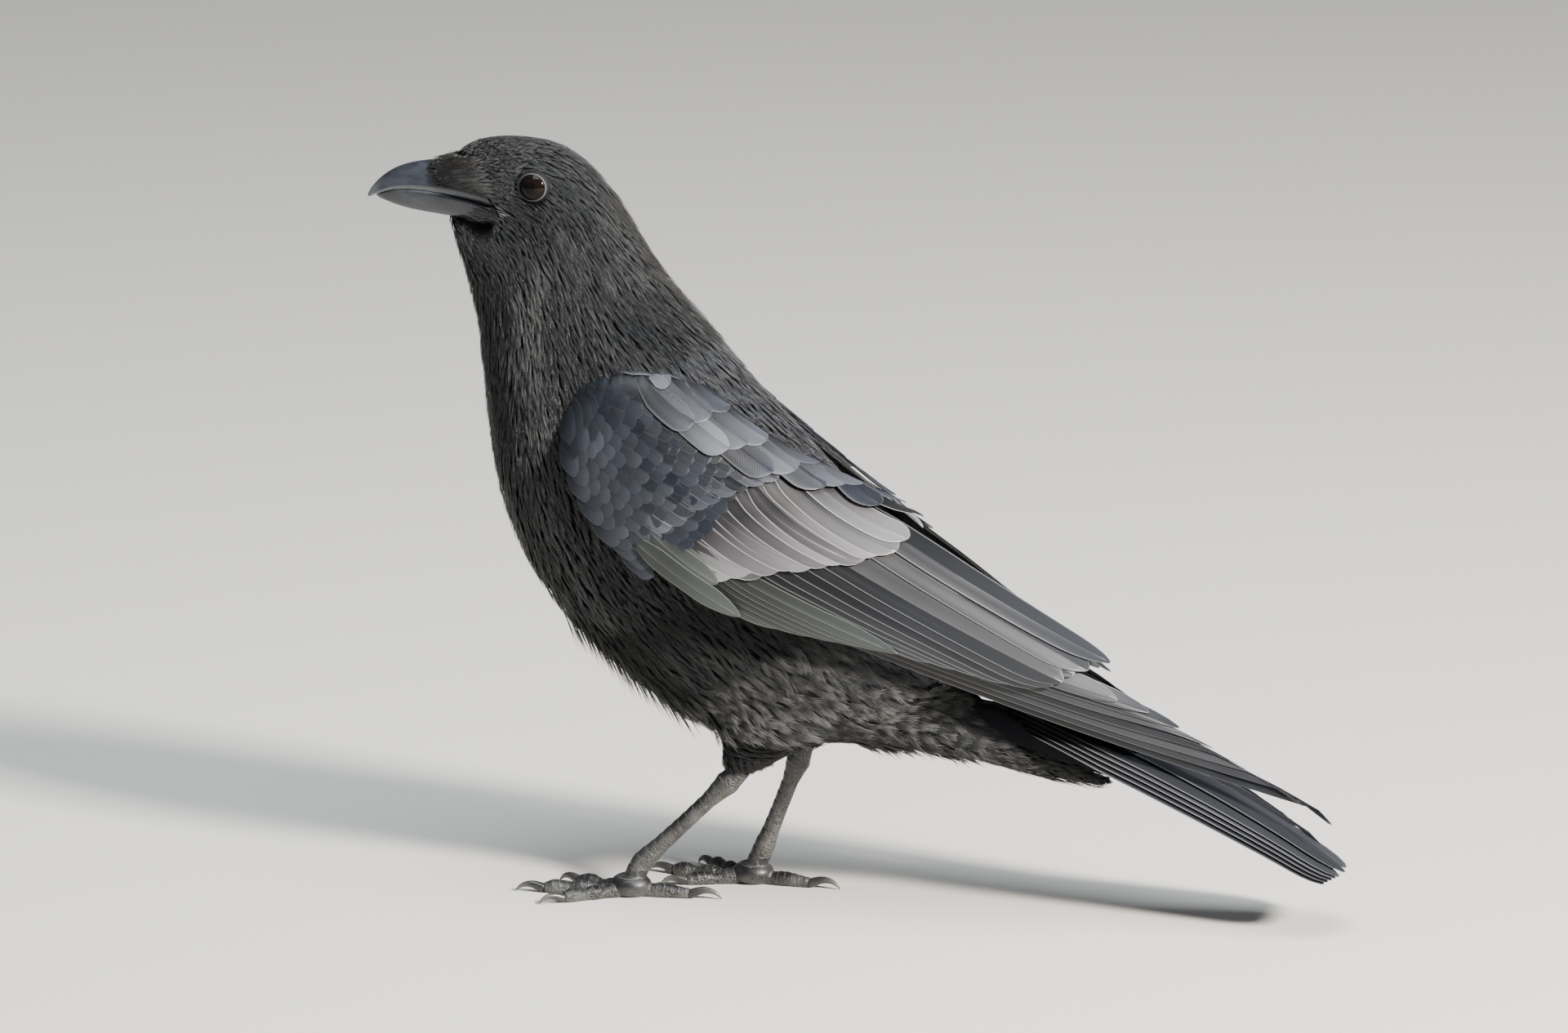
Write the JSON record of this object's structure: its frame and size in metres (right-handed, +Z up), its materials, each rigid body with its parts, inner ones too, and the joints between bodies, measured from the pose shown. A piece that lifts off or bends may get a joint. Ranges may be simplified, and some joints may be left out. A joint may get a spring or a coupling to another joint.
{
  "type": "carrion crow",
  "caption": "Life-size still model of a walking carrion crow with folded wings, one foot ahead of the other, standing on flat soles.",
  "frame": {"origin": "on the floor, under the middle of the length from bill tip to tail tip and the middle of the width", "axes": "+Z up; -X is the way the bird faces, so +X runs back to the tail; -Y is the bird's left side"},
  "size_m": [0.3728, 0.0962, 0.2841],
  "materials": {
    "body_feathers": "overlapping black feathers with a soft blue-green sheen",
    "flight_feathers": "stiff smooth black vanes with paler worn edges",
    "bill_horn": "slate-black horn with a soft gloss, worn pale at the tip",
    "eye_ball": "wet dark brown eye",
    "leg_scales": "black scaled skin with silvery highlights",
    "claw_horn": "grey-black curved horn"
  },
  "bodies": {
    "root": {"alula_left": "flight_feathers", "alula_right": "flight_feathers", "bill_lower": "bill_horn", "bill_upper": "bill_horn", "claw_left_hind": "claw_horn", "claw_left_inner": "claw_horn", "claw_left_middle": "claw_horn", "claw_left_outer": "claw_horn", "claw_right_hind": "claw_horn", "claw_right_inner": "claw_horn", "claw_right_middle": "claw_horn", "claw_right_outer": "claw_horn", "eye_left": "eye_ball", "eye_right": "eye_ball", "head": "body_feathers", "neck": "body_feathers", "primaries_inner_left": "flight_feathers", "primaries_inner_right": "flight_feathers", "primaries_mid_left": "flight_feathers", "primaries_mid_right": "flight_feathers", "primaries_outer_left": "flight_feathers", "primaries_outer_right": "flight_feathers", "primary_coverts_left": "flight_feathers", "primary_coverts_right": "flight_feathers", "rump": "body_feathers", "scapulars_left": "body_feathers", "scapulars_right": "body_feathers", "secondaries_left": "flight_feathers", "secondaries_right": "flight_feathers", "shank_left": "leg_scales", "shank_right": "leg_scales", "tail_left_1": "flight_feathers", "tail_left_2": "flight_feathers", "tail_left_3": "flight_feathers", "tail_left_4": "flight_feathers", "tail_left_5": "flight_feathers", "tail_middle": "flight_feathers", "tail_right_1": "flight_feathers", "tail_right_2": "flight_feathers", "tail_right_3": "flight_feathers", "tail_right_4": "flight_feathers", "tail_right_5": "flight_feathers", "tertials_left": "flight_feathers", "tertials_right": "flight_feathers", "thigh_left": "body_feathers", "thigh_right": "body_feathers", "toe_left_hind": "leg_scales", "toe_left_inner": "leg_scales", "toe_left_middle": "leg_scales", "toe_left_outer": "leg_scales", "toe_right_hind": "leg_scales", "toe_right_inner": "leg_scales", "toe_right_middle": "leg_scales", "toe_right_outer": "leg_scales", "trunk": "body_feathers", "wing_arm_left": "body_feathers", "wing_arm_right": "body_feathers", "wing_coverts_left": "body_feathers", "wing_coverts_right": "body_feathers"}
  },
  "joints": []
}
